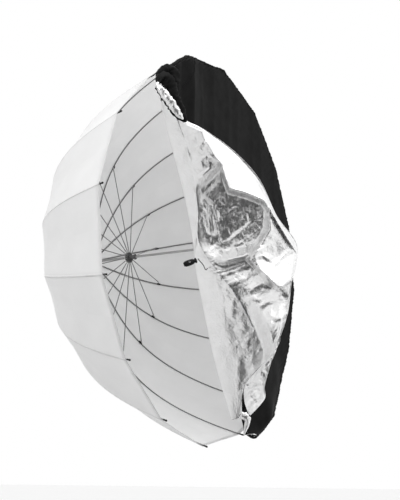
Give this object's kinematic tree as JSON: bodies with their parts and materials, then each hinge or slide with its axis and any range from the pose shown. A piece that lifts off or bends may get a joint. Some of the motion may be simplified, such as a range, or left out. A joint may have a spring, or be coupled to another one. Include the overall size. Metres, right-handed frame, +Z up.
{
  "type": "umbrella reflector",
  "caption": "Deep translucent photographic umbrella on a slim shaft, open on its folding ribs, with a two-sided cover hooked over part of the rim and folded back over the shaft.",
  "frame": {"origin": "on the shaft's centreline where a stand's umbrella holder grips it, in front of the rim plane", "axes": "+X along the shaft towards the open side, +Z up as the umbrella stands in use, +Y across the opening"},
  "size_m": [0.804, 1.3093, 1.3093],
  "materials": {
    "shaft": "satin",
    "rod": "satin glass-fibre rod, grey",
    "black_plastic": "moulded, slightly glossy",
    "bright_steel": "plain wire and pressed steel",
    "canopy_fabric": "translucent white woven nylon",
    "cover_fabric": "woven, black on one side and silver coated on the other",
    "cord": "braided black cord",
    "lock_plastic": "moulded black"
  },
  "bodies": {
    "frame": {"shaft": "shaft", "crown_notch": "black_plastic", "crown_cap": "black_plastic", "stop_collar": "bright_steel", "shaft_end_cap": "black_plastic", "canopy": "canopy_fabric"},
    "runner": {"runner": "black_plastic"},
    "catch": {"runner_catch": "bright_steel"},
    "cover": {"cover": "cover_fabric", "drawstring": "cord", "cord_lock_barrel": "lock_plastic"},
    "lock_plunger": {"cord_lock_plunger": "lock_plastic"},
    "rib_1": {"rib_1": "rod", "rib_tip_1": "black_plastic"},
    "stretcher_1": {"stretcher_1": "rod"},
    "rib_2": {"rib_2": "rod", "rib_tip_2": "black_plastic"},
    "stretcher_2": {"stretcher_2": "rod"},
    "rib_3": {"rib_3": "rod", "rib_tip_3": "black_plastic"},
    "stretcher_3": {"stretcher_3": "rod"},
    "rib_4": {"rib_4": "rod", "rib_tip_4": "black_plastic"},
    "stretcher_4": {"stretcher_4": "rod"},
    "rib_5": {"rib_5": "rod", "rib_tip_5": "black_plastic"},
    "stretcher_5": {"stretcher_5": "rod"},
    "rib_6": {"rib_6": "rod", "rib_tip_6": "black_plastic"},
    "stretcher_6": {"stretcher_6": "rod"},
    "rib_7": {"rib_7": "rod", "rib_tip_7": "black_plastic"},
    "stretcher_7": {"stretcher_7": "rod"},
    "rib_8": {"rib_8": "rod", "rib_tip_8": "black_plastic"},
    "stretcher_8": {"stretcher_8": "rod"},
    "rib_9": {"rib_9": "rod", "rib_tip_9": "black_plastic"},
    "stretcher_9": {"stretcher_9": "rod"},
    "rib_10": {"rib_10": "rod", "rib_tip_10": "black_plastic"},
    "stretcher_10": {"stretcher_10": "rod"},
    "rib_11": {"rib_11": "rod", "rib_tip_11": "black_plastic"},
    "stretcher_11": {"stretcher_11": "rod"},
    "rib_12": {"rib_12": "rod", "rib_tip_12": "black_plastic"},
    "stretcher_12": {"stretcher_12": "rod"},
    "rib_13": {"rib_13": "rod", "rib_tip_13": "black_plastic"},
    "stretcher_13": {"stretcher_13": "rod"},
    "rib_14": {"rib_14": "rod", "rib_tip_14": "black_plastic"},
    "stretcher_14": {"stretcher_14": "rod"},
    "rib_15": {"rib_15": "rod", "rib_tip_15": "black_plastic"},
    "stretcher_15": {"stretcher_15": "rod"},
    "rib_16": {"rib_16": "rod", "rib_tip_16": "black_plastic"},
    "stretcher_16": {"stretcher_16": "rod"}
  },
  "joints": [
    {"name": "runner_slide", "type": "slide", "parent": "frame", "child": "runner", "axis": [1, 0, 0], "range_m": [0, 0.4435], "deforming": ["runner_catch"]},
    {"name": "rib_fold_1", "type": "hinge", "parent": "frame", "child": "rib_1", "pos_m": [-0.712, 0.01395, -0.00122], "axis": [0, -0.0872, -0.9962], "range_deg": [0, 50.2]},
    {"name": "stretcher_fold_1", "type": "hinge", "parent": "runner", "child": "stretcher_1", "pos_m": [-0.5584, 0.01395, -0.00122], "axis": [0, 0.0872, 0.9962], "range_deg": [0, 46.09]},
    {"name": "rib_fold_2", "type": "hinge", "parent": "frame", "child": "rib_2", "pos_m": [-0.712, 0.01335, 0.00421], "axis": [0, 0.3007, -0.9537], "range_deg": [0, 50.2]},
    {"name": "stretcher_fold_2", "type": "hinge", "parent": "runner", "child": "stretcher_2", "pos_m": [-0.5584, 0.01335, 0.00421], "axis": [0, -0.3007, 0.9537], "range_deg": [0, 46.09]},
    {"name": "rib_fold_3", "type": "hinge", "parent": "frame", "child": "rib_3", "pos_m": [-0.712, 0.01073, 0.009], "axis": [0, 0.6428, -0.766], "range_deg": [0, 50.2]},
    {"name": "stretcher_fold_3", "type": "hinge", "parent": "runner", "child": "stretcher_3", "pos_m": [-0.5584, 0.01073, 0.009], "axis": [0, -0.6428, 0.766], "range_deg": [0, 46.09]},
    {"name": "rib_fold_4", "type": "hinge", "parent": "frame", "child": "rib_4", "pos_m": [-0.712, 0.00646, 0.01242], "axis": [0, 0.887, -0.4617], "range_deg": [0, 50.2]},
    {"name": "stretcher_fold_4", "type": "hinge", "parent": "runner", "child": "stretcher_4", "pos_m": [-0.5584, 0.00646, 0.01242], "axis": [0, -0.887, 0.4617], "range_deg": [0, 46.09]},
    {"name": "rib_fold_5", "type": "hinge", "parent": "frame", "child": "rib_5", "pos_m": [-0.712, 0.00122, 0.01395], "axis": [0, 0.9962, -0.0872], "range_deg": [0, 50.2]},
    {"name": "stretcher_fold_5", "type": "hinge", "parent": "runner", "child": "stretcher_5", "pos_m": [-0.5584, 0.00122, 0.01395], "axis": [0, -0.9962, 0.0872], "range_deg": [0, 46.09]},
    {"name": "rib_fold_6", "type": "hinge", "parent": "frame", "child": "rib_6", "pos_m": [-0.712, -0.00421, 0.01335], "axis": [0, 0.9537, 0.3007], "range_deg": [0, 50.2]},
    {"name": "stretcher_fold_6", "type": "hinge", "parent": "runner", "child": "stretcher_6", "pos_m": [-0.5584, -0.00421, 0.01335], "axis": [0, -0.9537, -0.3007], "range_deg": [0, 46.09]},
    {"name": "rib_fold_7", "type": "hinge", "parent": "frame", "child": "rib_7", "pos_m": [-0.712, -0.009, 0.01073], "axis": [0, 0.766, 0.6428], "range_deg": [0, 50.2]},
    {"name": "stretcher_fold_7", "type": "hinge", "parent": "runner", "child": "stretcher_7", "pos_m": [-0.5584, -0.009, 0.01073], "axis": [0, -0.766, -0.6428], "range_deg": [0, 46.09]},
    {"name": "rib_fold_8", "type": "hinge", "parent": "frame", "child": "rib_8", "pos_m": [-0.712, -0.01242, 0.00646], "axis": [0, 0.4617, 0.887], "range_deg": [0, 50.2]},
    {"name": "stretcher_fold_8", "type": "hinge", "parent": "runner", "child": "stretcher_8", "pos_m": [-0.5584, -0.01242, 0.00646], "axis": [0, -0.4617, -0.887], "range_deg": [0, 46.09]},
    {"name": "rib_fold_9", "type": "hinge", "parent": "frame", "child": "rib_9", "pos_m": [-0.712, -0.01395, 0.00122], "axis": [0, 0.0872, 0.9962], "range_deg": [0, 50.2]},
    {"name": "stretcher_fold_9", "type": "hinge", "parent": "runner", "child": "stretcher_9", "pos_m": [-0.5584, -0.01395, 0.00122], "axis": [0, -0.0872, -0.9962], "range_deg": [0, 46.09]},
    {"name": "rib_fold_10", "type": "hinge", "parent": "frame", "child": "rib_10", "pos_m": [-0.712, -0.01335, -0.00421], "axis": [0, -0.3007, 0.9537], "range_deg": [0, 50.2]},
    {"name": "stretcher_fold_10", "type": "hinge", "parent": "runner", "child": "stretcher_10", "pos_m": [-0.5584, -0.01335, -0.00421], "axis": [0, 0.3007, -0.9537], "range_deg": [0, 46.09]},
    {"name": "rib_fold_11", "type": "hinge", "parent": "frame", "child": "rib_11", "pos_m": [-0.712, -0.01073, -0.009], "axis": [0, -0.6428, 0.766], "range_deg": [0, 50.2]},
    {"name": "stretcher_fold_11", "type": "hinge", "parent": "runner", "child": "stretcher_11", "pos_m": [-0.5584, -0.01073, -0.009], "axis": [0, 0.6428, -0.766], "range_deg": [0, 46.09]},
    {"name": "rib_fold_12", "type": "hinge", "parent": "frame", "child": "rib_12", "pos_m": [-0.712, -0.00646, -0.01242], "axis": [0, -0.887, 0.4617], "range_deg": [0, 50.2]},
    {"name": "stretcher_fold_12", "type": "hinge", "parent": "runner", "child": "stretcher_12", "pos_m": [-0.5584, -0.00646, -0.01242], "axis": [0, 0.887, -0.4617], "range_deg": [0, 46.09]},
    {"name": "rib_fold_13", "type": "hinge", "parent": "frame", "child": "rib_13", "pos_m": [-0.712, -0.00122, -0.01395], "axis": [0, -0.9962, 0.0872], "range_deg": [0, 50.2]},
    {"name": "stretcher_fold_13", "type": "hinge", "parent": "runner", "child": "stretcher_13", "pos_m": [-0.5584, -0.00122, -0.01395], "axis": [0, 0.9962, -0.0872], "range_deg": [0, 46.09]},
    {"name": "rib_fold_14", "type": "hinge", "parent": "frame", "child": "rib_14", "pos_m": [-0.712, 0.00421, -0.01335], "axis": [0, -0.9537, -0.3007], "range_deg": [0, 50.2]},
    {"name": "stretcher_fold_14", "type": "hinge", "parent": "runner", "child": "stretcher_14", "pos_m": [-0.5584, 0.00421, -0.01335], "axis": [0, 0.9537, 0.3007], "range_deg": [0, 46.09]},
    {"name": "rib_fold_15", "type": "hinge", "parent": "frame", "child": "rib_15", "pos_m": [-0.712, 0.009, -0.01073], "axis": [0, -0.766, -0.6428], "range_deg": [0, 50.2]},
    {"name": "stretcher_fold_15", "type": "hinge", "parent": "runner", "child": "stretcher_15", "pos_m": [-0.5584, 0.009, -0.01073], "axis": [0, 0.766, 0.6428], "range_deg": [0, 46.09]},
    {"name": "rib_fold_16", "type": "hinge", "parent": "frame", "child": "rib_16", "pos_m": [-0.712, 0.01242, -0.00646], "axis": [0, -0.4617, -0.887], "range_deg": [0, 50.2]},
    {"name": "stretcher_fold_16", "type": "hinge", "parent": "runner", "child": "stretcher_16", "pos_m": [-0.5584, 0.01242, -0.00646], "axis": [0, 0.4617, 0.887], "range_deg": [0, 46.09]},
    {"name": "cover_pull_off", "type": "slide", "parent": "frame", "child": "cover", "axis": [1, 0, 0], "range_m": [0, 0.7017]},
    {"name": "catch_press", "type": "slide", "parent": "frame", "child": "catch", "axis": [0, 0, -1], "range_m": [0, 0.0036], "stiffness_N_per_m": 400, "springref_m": -0.002},
    {"name": "cord_lock_press", "type": "slide", "parent": "cover", "child": "lock_plunger", "axis": [-0.8202, -0.4601, -0.3401], "range_m": [0, 0.005], "stiffness_N_per_m": 400, "springref_m": -0.002}
  ],
  "couplings": [
    {"joint": "rib_fold_1", "follows": "runner_slide", "rad_per_m": 1.9677},
    {"joint": "stretcher_fold_1", "follows": "runner_slide", "rad_per_m": 1.806},
    {"joint": "rib_fold_2", "follows": "runner_slide", "rad_per_m": 1.9677},
    {"joint": "stretcher_fold_2", "follows": "runner_slide", "rad_per_m": 1.806},
    {"joint": "rib_fold_3", "follows": "runner_slide", "rad_per_m": 1.9677},
    {"joint": "stretcher_fold_3", "follows": "runner_slide", "rad_per_m": 1.806},
    {"joint": "rib_fold_4", "follows": "runner_slide", "rad_per_m": 1.9677},
    {"joint": "stretcher_fold_4", "follows": "runner_slide", "rad_per_m": 1.806},
    {"joint": "rib_fold_5", "follows": "runner_slide", "rad_per_m": 1.9677},
    {"joint": "stretcher_fold_5", "follows": "runner_slide", "rad_per_m": 1.806},
    {"joint": "rib_fold_6", "follows": "runner_slide", "rad_per_m": 1.9677},
    {"joint": "stretcher_fold_6", "follows": "runner_slide", "rad_per_m": 1.806},
    {"joint": "rib_fold_7", "follows": "runner_slide", "rad_per_m": 1.9677},
    {"joint": "stretcher_fold_7", "follows": "runner_slide", "rad_per_m": 1.806},
    {"joint": "rib_fold_8", "follows": "runner_slide", "rad_per_m": 1.9677},
    {"joint": "stretcher_fold_8", "follows": "runner_slide", "rad_per_m": 1.806},
    {"joint": "rib_fold_9", "follows": "runner_slide", "rad_per_m": 1.9677},
    {"joint": "stretcher_fold_9", "follows": "runner_slide", "rad_per_m": 1.806},
    {"joint": "rib_fold_10", "follows": "runner_slide", "rad_per_m": 1.9677},
    {"joint": "stretcher_fold_10", "follows": "runner_slide", "rad_per_m": 1.806},
    {"joint": "rib_fold_11", "follows": "runner_slide", "rad_per_m": 1.9677},
    {"joint": "stretcher_fold_11", "follows": "runner_slide", "rad_per_m": 1.806},
    {"joint": "rib_fold_12", "follows": "runner_slide", "rad_per_m": 1.9677},
    {"joint": "stretcher_fold_12", "follows": "runner_slide", "rad_per_m": 1.806},
    {"joint": "rib_fold_13", "follows": "runner_slide", "rad_per_m": 1.9677},
    {"joint": "stretcher_fold_13", "follows": "runner_slide", "rad_per_m": 1.806},
    {"joint": "rib_fold_14", "follows": "runner_slide", "rad_per_m": 1.9677},
    {"joint": "stretcher_fold_14", "follows": "runner_slide", "rad_per_m": 1.806},
    {"joint": "rib_fold_15", "follows": "runner_slide", "rad_per_m": 1.9677},
    {"joint": "stretcher_fold_15", "follows": "runner_slide", "rad_per_m": 1.806},
    {"joint": "rib_fold_16", "follows": "runner_slide", "rad_per_m": 1.9677},
    {"joint": "stretcher_fold_16", "follows": "runner_slide", "rad_per_m": 1.806},
    {"joint": "cover_pull_off", "follows": "runner_slide", "ratio": 1.58}
  ]
}
